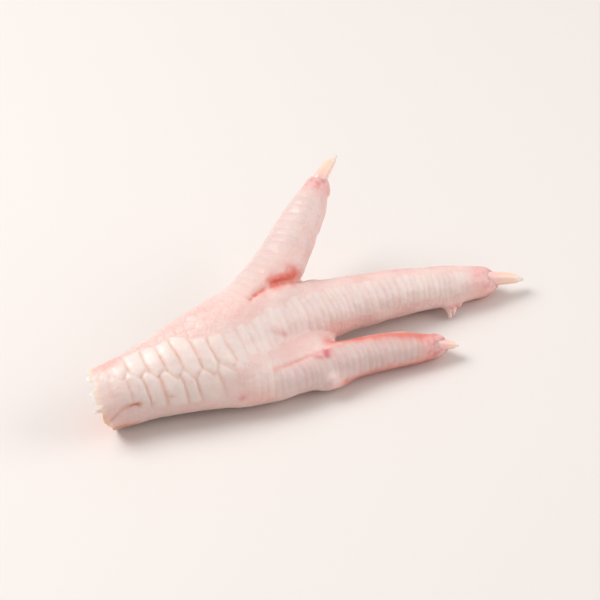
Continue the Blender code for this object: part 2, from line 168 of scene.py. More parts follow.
# What the skin adds to the construction.
VOXEL = 0.365            # grid on which the limbs are fused
LIMB_SIDES = 32
SOCKET_MESH = (32, 24)   # sides and rings of what is cut out of the skin for a claw
POCKET_START = 6         # how far the tissue's pocket reaches out before the tissue's end
SETTLE_ROUNDS = 4        # how often the fused skin is moved onto the smooth form
SETTLE_STEP = 2          # how far it moves at most each time
FIT = 0.05               # clearance between the skin and what it holds
SHARP_ANGLE = 0.9        # edges of the skin that turn more than this are shown sharp
SCUTE_LINE = (0.42, 0.05)  # half the width and the depth of the groove between two scutes
BAND_LINE = (0.28, 0.02)  # the same between two bands
SEAM_LINE = (0.7, 0.05)  # strength and width, as an angle, of the line between the two rows of scutes
LINE_TINTS = (0.45, 0.42)  # how strongly the lines on the middle toe and on the other toes are tinted
FAINT = 0.3              # how clear the scutes are right behind the cut
PLATES_START = (11, 19)  # stretch of the run behind the cut over which the scutes become clear
SCUTE_SWELL = (0.8, 0.35)  # how high a scute stands at least, and how much more it may
EDGE_JITTER = 0.16       # how unevenly the scutes and bands begin, as an angle
# Noise on the skin: how much, how wide its blobs are and a seed.
STRAY_RUN = ((0.4, 4.5, 3), (0.12, 1.4, 5))
STRAY_ANGLE = (0.07, 3.5, 4)
CLEARNESS = (0.35, 3.0, 18)
CLEAR_PATCHES = (0.5, 8.0, 19)
FOLD_NOISE = (0.3, 1.5, 9)
TINT_NOISE = (0.35, 1.6, 15)
SKIN_NOISE = (0.04, 0.9, 12)
# How uneven the scales' lengths are, over how many scales, and how far calm evens them out.
STRAY_LENGTH = (0.28, 1.15, 0.6)
TOE_CALM = 0.6
ROW_SEEDS = (41, 42)
TONE_SEED = 5
CLEAR = 0.8              # how clear the lines between the scales are on the whole
# Small scales between the plates: how many go round each limb, and their relief.
GRAIN = {"shank": 44, "inner_toe": 36, "outer_toe": 32, "hind_toe": 28}
GRAIN_HEIGHT = 0.07
GRAIN_LINE = (0.22, 0.35)  # strength and width of the line round each
GRAIN_EDGE = (0.0, 0.6)  # how much of a plate there is where they start to fade, and where they end
PEBBLES = (20, 0.2)      # the larger ones beside the upper row of scutes
PEBBLE_LINE = (0.6, 0.22)
PEBBLE_ANGLES = (0.55, 0.75, 1.25, 1.7)
PEBBLES_END = (44, 60)
# How much greyer each limb is made, partly the bands' own greyish tone and partly painted shade on the
# toes, most on the outer toe, and the stretch of the run over which a toe takes its tints.
GREY_AND_SHADE_BY_LIMB = {"shank": 0.3, "inner_toe": 0.75, "outer_toe": 1.0, "hind_toe": 0.5}
TOE_START = (16, 30)
MIDDLE_TOE_START = (40, 70)
SIDE_SHADE = (0.75, (0.1, 1.1), (50, 75))  # painted shade on the shank's outer, lower side: its strength, from which angles, its end
SIDES = (1.1, 1.8, 2.4, 3.0)  # angles where a limb's side starts, is full, starts to end and ends
TOE_TIP = (-6, 1)        # where a toe's tip starts and is full, from the end of its middle line
FLUSH = (0.3, 0.5)       # how pink the sides and the tip are
LIP = (0.06, 0.5, 0.8)   # height, distance from the claw and width of the skin's lip round a claw
CUTICLE = (0.3, 2.8)     # how far from the claw the tender skin starts to fade, and ends
# Round the cut: how far its pale rim reaches, where the white of the rags fades, from the plane of the
# cut, and where the colour of the inside does, from the smooth form.
RIM = 0.9
RAG_WHITE = (-1.0, -0.3)
INSIDE = (-0.7, -0.2)
# Claws: sides and rings, the height, number and twist of their ridges, the depth and width of the flat
# beneath, unevenness, and how much is worn off just before the tip, where, and how far that part drops.
CLAW_MESH = (40, 72)
CLAW_RIDGES = (0.012, 5, 2)
CLAW_SOLE = (0.05, 0.5)
CLAW_NOISE = (0.02, 0.7, 21)
CLAW_WEAR = 0.25
CLAW_WORN = (0.84, 0.88, 1.3)
CLAW_DROP = 0.6
# Tissue in the cut: sides and rings of its end, its noise, bulge and edge, where the rings behind the
# end start, and tendon ends with their y, z and reach, how far they stand out and how pale they are.
CORE_MESH = (96, 28)
CORE_NOISE = ((0.5, 2.2, 31), (0.3, 0.8, 32))
CORE_BULGE = 0.9
CORE_EDGE = 0.15
CORE_START = 5
TENDONS = ((-9.4, 5.2, 1.4), (-6.2, 4.4, 1.1), (-7.6, 12.6, 1.2), (-10.9, 8.0, 0.8))
TENDON_HEIGHT = 1.1
TENDON_TINT = 0.7
# Small knobs and a dent: place, width and height.
BUMPS = [((-28.6, -0.8, 21.3), 0.8, 0.55), ((-2.4, -24.2, 5.8), 1.7, 1.1), ((1.6, -24.0, 4.4), 1.7, -0.6),
         ((-32.0, -2.5, 20.6), 1.2, 0.25)]
# Bits of loose skin under the middle toe, as small limbs of the skin.
SHREDS = {
    "shred_left": [(40.0, -8.6, 3.4, 0.45, 0.45, 0.45), (40.3, -9.6, 2.2, 0.5, 0.4, 0.4),
                   (40.0, -10.6, 1.2, 0.38, 0.35, 0.35)],
    "shred_middle": [(41.4, -8.7, 3.2, 0.45, 0.45, 0.45), (41.8, -9.5, 2.3, 0.45, 0.4, 0.4),
                     (41.5, -10.1, 1.7, 0.36, 0.35, 0.35)],
    "shred_right": [(42.8, -8.5, 3.4, 0.5, 0.45, 0.45), (43.6, -9.1, 2.8, 0.38, 0.35, 0.35)],
}
# The block that makes the cut: half its width, its squares along a side and its waves' height, layer
# and fineness.
CUT_BLOCK = (11.5, 120)
CUT_WAVES = ((CUT_ROUGH, 3, 0.35), (0.22, 8, 1.3))
# Ragged places on the edge of the cut: how steep they all are, then y, z, how far each stands out, or
# dents in if negative, and how wide it is.
RAG_STEEP = 1.7
RAGS = [
    (-9.8, 15.6, -0.8, 2.2), (-12.8, 13.4, -1.0, 3.6), (-4.2, 16.2, 0.4, 2.0), (-7.2, 16.2, 0.7, 1.2),
    (-11.6, 14.7, 2.7, 1.1), (-12.7, 13.8, 2.2, 0.9), (-13.5, 12.9, 2.7, 0.9), (-14.5, 11.2, 2.5, 0.7),
    (-15.4, 7.8, 0.8, 3.0), (-2.0, 3.0, 1.0, 1.0), (0.1, 7.4, 1.3, 0.9), (-6.4, 0.9, 0.8, 1.1),
    (-1.3, 12.4, 0.9, 0.8),
]
# Folds: places on the skin's line, half the width and the depth.
FOLDS = {
    "inner_web": ([(-15.4, -3.7, 21.8), (-10.2, -1.6, 21.6), (-5.9, -1.0, 21.3), (0.8, 0.4, 19.1),
                   (4.0, 3.0, 15.6)], 0.95, 1.1),
    "outer_web": ([(-14.0, -20.2, 11.7), (-9.2, -19.3, 11.2), (-3.3, -18.5, 11.2), (0.2, -17.2, 11.0)],
                  0.8, 0.35),
    "slit": ([(-60.2, -16.0, 7.4), (-57.0, -15.7, 9.7), (-54.4, -15.7, 10.7), (-51.8, -15.9, 10.4)],
             0.4, 0.8),
}
# Tinted places: mask, places on a line (or a single one), reach and strength.
TINTS = [
    ("flush", [(-25.0, -6.0, 22.1), (-20.2, -6.6, 22.1)], 3.4, 0.25),
    ("flush", [(-14.0, -1.5, 22.5), (-6.0, 1.5, 23.5), (2.0, 6.0, 22.0)], 4.0, 0.2),
    ("flush", [(0.0, 5.0, 17.0), (8.0, 10.5, 20.5), (15.0, 17.0, 25.0)], 2.6, 0.4),
    ("flush", [(15.3, 0.9, 14.5), (30.0, 0.3, 12.2), (44.0, -1.6, 10.1)], 2.2, 0.45),
    ("flush", [(-10.0, -14.0, 14.0), (4.0, -11.0, 11.0)], 4.0, 0.22),
    ("flush", [(-26.2, -22.3, 7.1), (-20.0, -22.8, 6.0)], 2.6, 0.45),
    ("flush", [(-59.0, -5.0, 16.5), (-54.0, -5.0, 17.0)], 2.2, 0.6),
    # Painted red shade in the crease between the inner and middle toes.
    ("red", [(-11.5, -2.4, 22.5), (-8.5, -1.6, 22.4)], 1.3, 0.3),
    ("red", [(-6.5, -1.0, 22.3), (-3.5, -0.4, 22.2), (-0.5, 0.8, 21.7)], 1.9, 1.0),
    # Painted red shade and reflected light along the outer toe's upper edge.
    ("red", [(2.6, -15.6, 10.5), (5.0, -15.9, 10.4), (9.5, -17.0, 10.0)], 2.2, 0.9),
    ("red", [(9.5, -17.0, 10.0), (16.7, -18.8, 9.6), (23.5, -20.8, 8.6), (26.7, -21.5, 7.5)], 2.2, 0.75),
    # Painted red shade in the fold at the outer toe's base.
    ("red", [(-16.3, -20.6, 12.0), (-9.2, -19.3, 11.2), (-3.3, -18.5, 11.2)], 0.8, 0.3),
    # Painted red shade beneath the outer toe, where it comes close to the floor.
    ("red", [(2.0, -24.4, 2.6), (8.0, -23.8, 2.2), (18.0, -24.2, 1.8), (25.0, -25.0, 1.8)], 2.3, 0.62),
    ("red", [(25.6, -22.0, 7.3)], 1.5, 0.4),
    ("red", [(40.6, -9.4, 3.2), (43.4, -9.2, 3.0)], 0.9, 0.5),
    ("violet", [(-1.3, -18.9, 11.3), (-1.9, -20.6, 10.8)], 0.95, 0.8),
    ("violet", [(-4.4, -20.0, 11.2), (-3.4, -20.6, 11.0)], 0.8, 0.6),
    ("violet", [(17.4, 21.0, 30.2)], 0.5, 0.5),
    ("violet", [(-13.5, -11.5, 16.2), (-11.0, -12.4, 15.7), (-9.5, -12.8, 15.0)], 0.9, 0.3),
    ("violet", [(-26.6, -22.3, 7.3)], 0.9, 0.4),
    ("orange", [(-43.9, -17.7, 11.4), (-42.6, -17.9, 11.3)], 0.35, 0.5),
    ("orange", FOLDS["slit"][0], 0.55, 0.95),
    ("orange", [(-60.2, -14.0, 3.0), (-57.4, -14.7, 3.9), (-53.0, -14.8, 3.6)], 1.5, 0.8),
    ("orange", [(-60.8, -15.3, 9.5), (-60.5, -15.2, 6.5), (-59.9, -14.3, 3.5)], 1.0, 0.45),
    ("orange", [(-62.0, -14.4, 11.3)], 0.7, 0.4),
    ("orange", [(28.3, -22.4, 6.2)], 1.1, 0.35),
]

# Camera, floor and light, in metres.
CAMERA_PLACE = (-0.2259, -0.4415, 0.4015)
CAMERA_AIM = (0.0002, -0.0009, 0.0125)
CAMERA_LENS = 146.0
FLOOR_HALF = 3.0
WORLD = ((0.98, 0.985, 1.0, 1), 0.46)  # colour and strength
# Place, size, power and colour.
LIGHTS = {
    "key": ((-0.45, 0.35, 0.75), 0.6, 7.4, (1.0, 0.985, 0.975)),
    "fill": ((0.66, -0.32, 0.36), 0.6, 2.7, (1.0, 0.975, 0.97)),
}


def ramp(value, low, high):
    t = np.clip((value - low) / (high - low), 0, 1)
    return t * t * (3 - 2 * t)


def bell(distance, reach):
    return np.exp(-(distance / reach) ** 2)


def unit(vectors):
    return vectors / np.linalg.norm(vectors, axis=-1, keepdims=True)


def smooth_rows(rows, step):
    """Points about every step millimetres on a smooth curve through the rows."""
    rows = np.array(rows, float)
    padded = np.vstack([2 * rows[0] - rows[1], rows, 2 * rows[-1] - rows[-2]])
    stretches = []
    for a, b, c, d in zip(padded, padded[1:], padded[2:], padded[3:]):
        count = max(2, round(float(np.linalg.norm((c - b)[:3])) / step))
        t = np.arange(count)[:, None] / count
        stretches.append(0.5 * (2 * b + (c - a) * t + (2 * a - 5 * b + 4 * c - d) * t ** 2
                                + (3 * b - a - 3 * c + d) * t ** 3))
    return np.vstack(stretches + [rows[-1:]])


class Limb:
    """A tapering limb of oval section: its middle line, frame and reaches at each sample."""

    def __init__(self, rows, rolls, step=1.5):
        samples = smooth_rows(rows, step)
        self.line = samples[:, :3]
        self.reach = samples[:, 3:]
        self.run = np.concatenate([[0], np.cumsum(np.linalg.norm(np.diff(self.line, axis=0), axis=1))])
        self.ahead = unit(np.gradient(self.line, axis=0))
        up = unit(np.array([0, 0, 1.0]) - self.ahead[:, 2:3] * self.ahead)
        left = np.cross(up, self.ahead)
        roll = np.radians(np.interp(self.run, [0, self.run[-1]], rolls))[:, None]
        self.back = np.cos(roll) * up - np.sin(roll) * left
        self.side = np.cos(roll) * left + np.sin(roll) * up

    def nearest(self, points):
        """The stretch of the middle line nearest to each point, and how far along that stretch."""
        best = np.full(len(points), np.inf)
        index = np.zeros(len(points), int)
        part = np.zeros(len(points))
        for i, start in enumerate(self.line[:-1]):
            span = self.line[i + 1] - start
            t = np.clip((points - start) @ span / (span @ span), 0, 1)
            gap = ((points - start - t[:, None] * span) ** 2).sum(axis=1)
            closer = gap < best
            best[closer] = gap[closer]
            index[closer] = i
            part[closer] = t[closer]
        return index, part

    def measure(self, points):
        """Distance from the limb's surface, the way out, the run along it and the angle from its back."""
        index, part = self.nearest(points)

        def mix(values):
            weight = part if values.ndim == 1 else part[:, None]
            return values[index] * (1 - weight) + values[index + 1] * weight

        offset = points - mix(self.line)
        reach = mix(self.reach)
        ahead, back, side = (unit(mix(v)) for v in (self.ahead, self.back, self.side))
        across, height, beyond = ((offset * v).sum(axis=1) for v in (side, back, ahead))
        wide = reach[:, 0]
        deep = np.where(height > 0, reach[:, 1], reach[:, 2])
        end = (wide + deep) / 2 * TIP_STRETCH
        level = np.sqrt((across / wide) ** 2 + (height / deep) ** 2 + (beyond / end) ** 2) + 1e-9
        pull = (side * (across / wide ** 2)[:, None] + back * (height / deep ** 2)[:, None]
                + ahead * (beyond / end ** 2)[:, None])
        steep = np.linalg.norm(pull, axis=1) + 1e-9
        angle = np.arctan2(-across, height)
        run = mix(self.run) + beyond
        return level * (level - 1) / steep, pull / steep[:, None], run, angle

    def ring(self, i, sides, scale=1.0, grow=0.0, beyond=0.0):
        """The limb's section at sample i as a ring of points, moved beyond it along the limb."""
        turn = np.arange(sides) * 2 * np.pi / sides
        deep = np.where(np.cos(turn) > 0, self.reach[i, 1], self.reach[i, 2])
        wide = self.reach[i, 0]
        return (self.line[i] + self.ahead[i] * beyond
                + np.outer(np.sin(turn) * (wide * scale + grow), self.side[i])
                + np.outer(np.cos(turn) * (deep * scale + grow), self.back[i]))

    def end_length(self, i):
        return self.reach[i].mean() * TIP_STRETCH

    def rings(self, sides):
        """Rings along the whole limb and over its rounded ends."""
        swing = np.radians((80, 60, 35))
        first = [self.ring(0, sides, np.cos(a), 0, -self.end_length(0) * np.sin(a)) for a in swing]
        middle = [self.ring(i, sides) for i in range(len(self.line))]
        last = [self.ring(-1, sides, np.cos(a), 0, self.end_length(-1) * np.sin(a)) for a in swing[::-1]]
        return first + middle + last


def join_field(points, limbs):
    """All limbs joined smoothly: distance, the way out, each limb's share and its own measures."""
    found = {name: limb.measure(points) for name, limb in limbs.items()}
    gaps = np.array([f[0] for f in found.values()])
    nearest = gaps.min(axis=0)
    blend = PALM_BLEND + (TOE_BLEND - PALM_BLEND) * ramp(points[:, 0], *BLEND_ENDS)
    power = np.exp((nearest - gaps) / blend)
    total = power.sum(axis=0)
    share = power / total
    way = unit(sum(s[:, None] * f[1] for s, f in zip(share, found.values())))
    return nearest - blend * np.log(total), way, dict(zip(found, share)), found


def scrambled(*cells):
    """A number from 0 to 1 for each cell of a lattice, the same on every run."""
    mixed = np.zeros_like(cells[0])
    for cell, factor in zip(cells, (73856093, 19349663, 83492791, 49979687)):
        mixed = mixed ^ (cell * factor)
    mixed = ((mixed ^ (mixed >> 13)) * 1274126177) & 0x7FFFFFFF
    return ((mixed ^ (mixed >> 15)) & 0xFFFF) / 65535.0


def blobs(points, size, seed=0):
    """Smooth noise from -1 to 1 whose blobs are about size millimetres wide."""
    scaled = points / size
    base = np.floor(scaled).astype(np.int64)
    part = scaled - base
    part = part * part * (3 - 2 * part)
    total = 0
    for corner in np.ndindex(2, 2, 2):
        weight = np.prod(np.where(corner, part, 1 - part), axis=1)
        total = total + weight * scrambled(*(base + corner).T, np.full(len(base), seed))
    return 2 * total - 1


def unevenness(points, amount, size, seed):
    return amount * blobs(points, size, seed)


def pebbles(across, along, round_count):
    """Uneven cells on a limb: distance from the nearest cell border, and a number for each cell."""
    row, column = np.floor(along).astype(np.int64), np.floor(across).astype(np.int64)
    near = np.full(len(across), np.inf)
    second = near.copy()
    tone = np.zeros(len(across))
    for step_row, step_column in np.ndindex(3, 3):
        r, c = row + step_row - 1, column + step_column - 1
        wrapped = c % round_count
        centre_along = r + 0.5 + 0.7 * (scrambled(r, wrapped) - 0.5)
        centre_across = c + 0.5 + 0.7 * (scrambled(wrapped, r + 77) - 0.5)
        gap = np.hypot(along - centre_along, across - centre_across)
        closer = gap < near
        second = np.where(closer, near, np.minimum(second, gap))
        near = np.where(closer, gap, near)
        tone = np.where(closer, scrambled(r, wrapped + 31), tone)
    return second - near, tone


def phase_along(run, pitches):
    """How many scales lie between a limb's start and each run, for a pitch that changes."""
    grid = np.linspace(pitches[0][0], pitches[-1][0], 400)
    size = np.interp(grid, *zip(*pitches))
    count = np.concatenate([[0], np.cumsum(np.diff(grid) / ((size[1:] + size[:-1]) / 2))])
    return np.interp(run, grid, count)


def jittered(phase, seed, calm):
    """The phase with scales of uneven length; calm from 0 to 1 evens them out."""
    along = np.column_stack([phase, np.zeros(len(phase)), np.zeros(len(phase))])
    amount, wide, less = STRAY_LENGTH
    return phase + amount * (1 - less * calm) * blobs(along, wide, seed)


def puff(phase, crown):
    """One on a scale's middle and nought in the groove at each whole phase; a high crown is flatter."""
    return 1 - np.abs(2 * (phase % 1) - 1) ** crown


def patch(angle, low, high):
    """A domed span of angles, nought outside low to high."""
    return puff(np.clip((angle - low) / (high - low), 0, 1 - 1e-9), 6)


def groove_at(phase, pitch, reach):
    """One in the groove at each whole phase."""
    return bell((0.5 - np.abs(phase % 1 - 0.5)) * pitch, reach)


class Surface:
    """What the skin shows at each of its points: heights in millimetres and masks from 0 to 1."""

    def __init__(self, points, limbs):
        self.points = points
        self.limbs = limbs
        _, self.way, self.share, self.found = join_field(points, limbs)
        self.height = np.zeros(len(points))
        self.masks = {name: np.zeros(len(points)) for name in (
            "groove", "plate", "grey_and_shade", "flush", "red", "violet", "orange", "cuticle", "rim", "inside")}
        self.masks["tone"] = np.full(len(points), 0.5)
        for name in PADS_START:
            self.add_scales(name)
        self.add_folds()
        self.add_tints()
        self.add_claw_roots()
        self.add_unevenness()

    def add_scales(self, name):
        """Scutes or bands on the limb's back, plump pads beneath, and small scales all round."""
        _, _, run, angle = self.found[name]
        share = self.share[name]
        limb = self.limbs[name]
        length = limb.run[-1]
        for stray in STRAY_RUN:
            run = run + unevenness(self.points, *stray)
        angle = angle + unevenness(self.points, *STRAY_ANGLE)
        if name == "shank":
            reach = ramp(share, *SCUTES_SHARE)
            height, groove, plate, tone = self.shank_plates(run, angle, length)
        else:
            reach = share
            height, groove, plate, tone = self.toe_bands(run, angle, length, *BANDS[name])
        under = ramp(np.abs(angle), *PAD_ANGLES)
        pads = PAD_HEIGHT * under * puff((length - run) / PAD_PITCH, PAD_CROWN)
        pads = pads * ramp(run, PADS_START[name], PADS_START[name] + PAD_RISE)
        bare = 1 - ramp(plate, *GRAIN_EDGE)
        grain, line, grain_tone = small_scales(limb, run, angle, GRAIN[name], GRAIN_HEIGHT, GRAIN_LINE)
        if name == "shank":
            low, high, far, end = PEBBLE_ANGLES
            coarse = ramp(-angle, low, high) * (1 - ramp(-angle, far, end)) * (1 - ramp(run, *PEBBLES_END))
            knobs, knob_line, knob_tone = small_scales(limb, run, angle, *PEBBLES, PEBBLE_LINE)
            grain = grain + coarse * (knobs - grain)
            line = line + coarse * (knob_line - line)
            grain_tone = grain_tone + coarse * (knob_tone - grain_tone)
        self.height += reach * height + share * (pads + grain * bare)
        self.masks["groove"] += reach * groove + share * line * bare
        self.masks["plate"] += reach * plate
        self.masks["tone"] += share * (np.where(plate > 0.4, tone, 0.3 + 0.4 * grain_tone) - 0.5)
        low, high, far, end = SIDES
        sides = ramp(np.abs(angle), low, high) * (1 - ramp(np.abs(angle), far, end))
        tip = ramp(run - length, *TOE_TIP)
        start = MIDDLE_TOE_START if name == "shank" else TOE_START
        self.masks["flush"] += share * (FLUSH[0] * sides * ramp(run, *start) + FLUSH[1] * tip)
        if name == "shank":
            # Painted shade on the shank's outer, lower side.
            strength, angles, stretch = SIDE_SHADE
            self.masks["grey_and_shade"] += share * strength * ramp(angle, *angles) * (1 - ramp(run, *stretch))
            start = SCUTES_END
        # Greyer tone, partly the bands' own and partly painted shade, most on the outer toe.
        self.masks["grey_and_shade"] += share * GREY_AND_SHADE_BY_LIMB[name] * (0.5 + 0.5 * plate) * ramp(run, *start)

    def shank_plates(self, run, angle, length):
        """Two interlocking rows of scutes on the shank, then one row of bands along the middle toe."""
        phase = phase_along(run, SHANK_PITCH)
        pitch = np.interp(run, *zip(*SHANK_PITCH))
        to_band = ramp(run, *SCUTES_END)
        top, seam, bottom = (np.interp(run, *zip(*edge)) for edge in (ROW_TOP, SEAM, ROW_BOTTOM))
        seam = seam + SEAM_WAVE * (1 - 2 * np.abs(2 * (phase % 1) - 1)) * (1 - to_band)
        is_inner = (angle < seam) | (run > SCUTES_END[1])
        inner_row = jittered(phase, ROW_SEEDS[0], to_band)
        outer_row = jittered(phase + 0.5, ROW_SEEDS[1], to_band)
        phase = np.where(is_inner, inner_row, outer_row)
        tone = scrambled(np.floor(phase).astype(np.int64), is_inner.astype(np.int64) + TONE_SEED)
        jitter = EDGE_JITTER * (tone - 0.5)
        span = patch(angle, top + jitter, bottom + (seam - bottom) * to_band + jitter)
        fade = FAINT + (1 - FAINT) * ramp(run, *PLATES_START)
        fade = fade * (1 - ramp(run, length - SCUTES_FADE, length))
        crown = SCUTE_CROWN + (BAND_CROWN - SCUTE_CROWN) * to_band
        dip, reach = SEAM_DIP
        dip = dip * bell(angle - seam, reach) * (1 - to_band)
        low, more = SCUTE_SWELL
        rise = puff(phase, crown) * span * (1 - dip) * (low + more * tone * (1 - to_band))
        height = (SCUTE_HEIGHT + (BAND_HEIGHT - SCUTE_HEIGHT) * to_band) * rise
        plate = ramp(span, 0, 0.5)
        width, depth = (a + (b - a) * to_band for a, b in zip(SCUTE_LINE, BAND_LINE))
        strength, reach = SEAM_LINE
        seam_line = strength * bell(angle - seam, reach) * (1 - to_band)
        groove = np.maximum(groove_at(phase, pitch, width), seam_line)
        groove = groove * plate * fade * self.line_strength(to_band)
        tint = groove * (1 - (1 - LINE_TINTS[0]) * to_band)
        return height * fade - depth * groove, tint, plate * fade, tone

    def line_strength(self, calm):
        """How clear the lines between the scales are, which changes from place to place."""
        patches = calm * unevenness(self.points, *CLEAR_PATCHES)
        return CLEAR + unevenness(self.points, *CLEARNESS) + patches

    def toe_bands(self, run, angle, length, low, high, pitch):
        """Bands across the back of a toe, between two angles."""
        phase = jittered(run / pitch, int(length), TOE_CALM)
        tone = scrambled(np.floor(phase).astype(np.int64), np.full(len(run), int(length)))
        jitter = EDGE_JITTER * (tone - 0.5)
        span = patch(angle, low + jitter, high + jitter)
        fade = ramp(run, *BANDS_RISE) * (1 - ramp(run, length - BANDS_FADE, length))
        plate = ramp(span, 0, 0.5) * fade
        width, depth = BAND_LINE
        groove = groove_at(phase, pitch, width) * plate * self.line_strength(1.0)
        height = BAND_HEIGHT * puff(phase, BAND_CROWN) * span * fade
        return height - depth * groove, LINE_TINTS[1] * groove, plate, tone

    def add_folds(self):
        uneven = 1 + unevenness(self.points, *FOLD_NOISE)
        for line, width, depth in FOLDS.values():
            near = bell(line_gap(self.points, line), width * uneven)
            self.height -= depth * near
            self.masks["groove"] *= 1 - near

    def add_tints(self):
        uneven = 1 + unevenness(self.points, *TINT_NOISE)
        for mask, line, reach, strength in TINTS:
            tint = strength * bell(line_gap(self.points, line) * uneven, reach)
            self.masks[mask] = np.maximum(self.masks[mask], tint)

    def add_claw_roots(self):
        """A thin raised lip of skin round each claw, and the tender skin beside it."""
        height, far, width = LIP
        for toe, *size in CLAWS.values():
            gap = claw_gap(self.points, self.limbs[toe], size)
            self.height += height * bell(gap - far, width)
            self.masks["cuticle"] = np.maximum(self.masks["cuticle"], 1 - ramp(gap, *CUTICLE))

    def add_unevenness(self):
        """Soft swells and hollows as in the construction, a finer skin, and a few bumps."""
        high = [sum(h * noise.noise(Vector(p) / wide) for wide, h in SWELLS) for p in self.points]
        self.height += np.array(high) + unevenness(self.points, *SKIN_NOISE)
        for middle, reach, height in BUMPS:
            self.height += height * bell(np.linalg.norm(self.points - middle, axis=1), reach)


def small_scales(limb, run, angle, round_count, height, line):
    """Small scales round a limb: their relief, the lines round them, and a number for each."""
    size = 2 * np.pi * limb.reach[:, 0].mean() / round_count
    border, tone = pebbles((angle / (2 * np.pi) + 0.5) * round_count, run / size, round_count)
    strength, width = line
    return height * (ramp(border, 0, 0.5) - 0.5), strength * (1 - ramp(border, 0, width)), tone


def line_gap(points, line):
    """Distance of each point from a smooth line through a few places, or from a single place."""
    if len(line) == 1:
        return np.linalg.norm(points - line[0], axis=1)
    line = smooth_rows(line, 0.8)
    best = np.full(len(points), np.inf)
    for start, stop in zip(line[:-1], line[1:]):
        span = stop - start
        t = np.clip((points - start) @ span / (span @ span), 0, 1)
        best = np.minimum(best, ((points - start - t[:, None] * span) ** 2).sum(axis=1))
    return np.sqrt(best)


def add_tube(mesh, rings):
    """Adds a closed tube through rings of points, with a flat cap at each end."""
    loops = [[mesh.verts.new(Vector(p) * MM) for p in ring] for ring in rings]
    for one, two in zip(loops, loops[1:]):
        for k in range(len(one)):
            after = (k + 1) % len(one)
            mesh.faces.new((one[k], one[after], two[after], two[k]))
    mesh.faces.new(loops[0][::-1])
    mesh.faces.new(loops[-1])


def add_piece(name, mesh):
    """A bmesh as an object in the row frame."""
    bmesh.ops.recalc_face_normals(mesh, faces=mesh.faces)
    bmesh.ops.translate(mesh, verts=mesh.verts, vec=Vector(PLACE) * MM)
    data = bpy.data.meshes.new(name)
    mesh.to_mesh(data)
    mesh.free()
    data.shade_smooth()
    thing = bpy.data.objects.new(name, data)
    bpy.context.scene.collection.objects.link(thing)
    return thing


def loft(name, rings):
    mesh = bmesh.new()
    add_tube(mesh, rings)
    return add_piece(name, mesh)


def get_points(data):
    """A mesh's points in millimetres, in the construction's own frame."""
    points = np.empty(len(data.vertices) * 3)
    data.vertices.foreach_get("co", points)
    return points.reshape(-1, 3) / MM - PLACE


def set_points(data, points):
    data.vertices.foreach_set("co", ((points + PLACE) * MM).ravel())
    data.update()


def set_mask(data, name, values):
    layer = data.attributes.new(name, "FLOAT", "POINT")
    layer.data.foreach_set("value", np.asarray(values, np.float32))


def settle(thing):
    """Applies an object's modifiers."""
    ready = thing.evaluated_get(bpy.context.evaluated_depsgraph_get())
    old = thing.data
    thing.data = bpy.data.meshes.new_from_object(ready)
    thing.modifiers.clear()
    bpy.data.meshes.remove(old)


def cut_away(body, cutters):
    """Cuts closed shapes out of a body and removes them."""
    for cutter in cutters:
        cut = body.modifiers.new(cutter.name, "BOOLEAN")
        cut.operation = "DIFFERENCE"
        cut.object = cutter
    settle(body)
    for cutter in cutters:
        bpy.data.objects.remove(cutter, do_unlink=True)


def cut_place(y, z):
    """Where the slanted cut lies along x."""
    x, middle_y, middle_z = CUT_MIDDLE
    return x + CUT_SLANT[0] * (y - middle_y) + CUT_SLANT[1] * (z - middle_z)


def cut_block():
    """A block whose front is the slanted, uneven plane of the cut."""
    block = bmesh.new()
    half, squares = CUT_BLOCK
    bmesh.ops.create_grid(block, x_segments=squares, y_segments=squares, size=half)
    for vert in block.verts:
        y, z = vert.co.x + CUT_MIDDLE[1], vert.co.y + CUT_MIDDLE[2]
        wave = sum(high * noise.noise(Vector((y, z, layer)) * fine) for high, layer, fine in CUT_WAVES)
        for rag_y, rag_z, out, wide in RAGS:
            wave -= out * np.clip(RAG_STEEP * (1 - np.hypot(y - rag_y, z - rag_z) / wide), 0, 1)
        vert.co = Vector((cut_place(y, z) + wave, y, z)) * MM
    away = bmesh.ops.extrude_face_region(block, geom=list(block.faces))
    for vert in (v for v in away["geom"] if isinstance(v, bmesh.types.BMVert)):
        vert.co.x -= 2 * half * MM
    return add_piece("cut_end", block)


def core_rings(limb, grow, outside, sides=LIMB_SIDES):
    """Rings of the flesh inside the shank, from the cut towards the palm."""
    x = limb.line[:, 0]
    start, stop = CUT_MIDDLE[0], CUT_MIDDLE[0] + CORE_DEPTH
    taper = 1 - CORE_TAPER * ramp(x, start, start + CORE_THINS)
    inside = np.flatnonzero((x > start + CORE_START) & (x < stop))[::2]
    rings = [limb.ring(i, sides, taper[i], grow - SKIN) for i in inside]
    front = rings[0].copy()
    front[:, 0] = cut_place(front[:, 1], front[:, 2]) + CORE_RECESS - outside
    rings[-1][:, 0] += grow
    return [front] + rings


def claw_line(limb, size, share):
    """Middle and radius of a claw at a share of its length, from its root in the toe."""
    length, depth, width, bluntness, lift, droop, turn = size
    ahead, back, side = limb.ahead[-1], limb.back[-1], limb.side[-1]
    root = limb.line[-1] + ahead * (limb.end_length(-1) - depth) + back * lift
    bend = side * turn - np.array([0, 0, droop])
    middle = root + ahead * (share * (depth + length)) + bend * share ** 2
    point = np.sqrt(1 - share ** bluntness)
    full = CLAW_ROOT[0] + (1 - CLAW_ROOT[0]) * ramp(share, 0, CLAW_ROOT[1])
    return middle, width / 2 * (1 - CLAW_TAPER * share) * point * full + CLAW_TIP * share


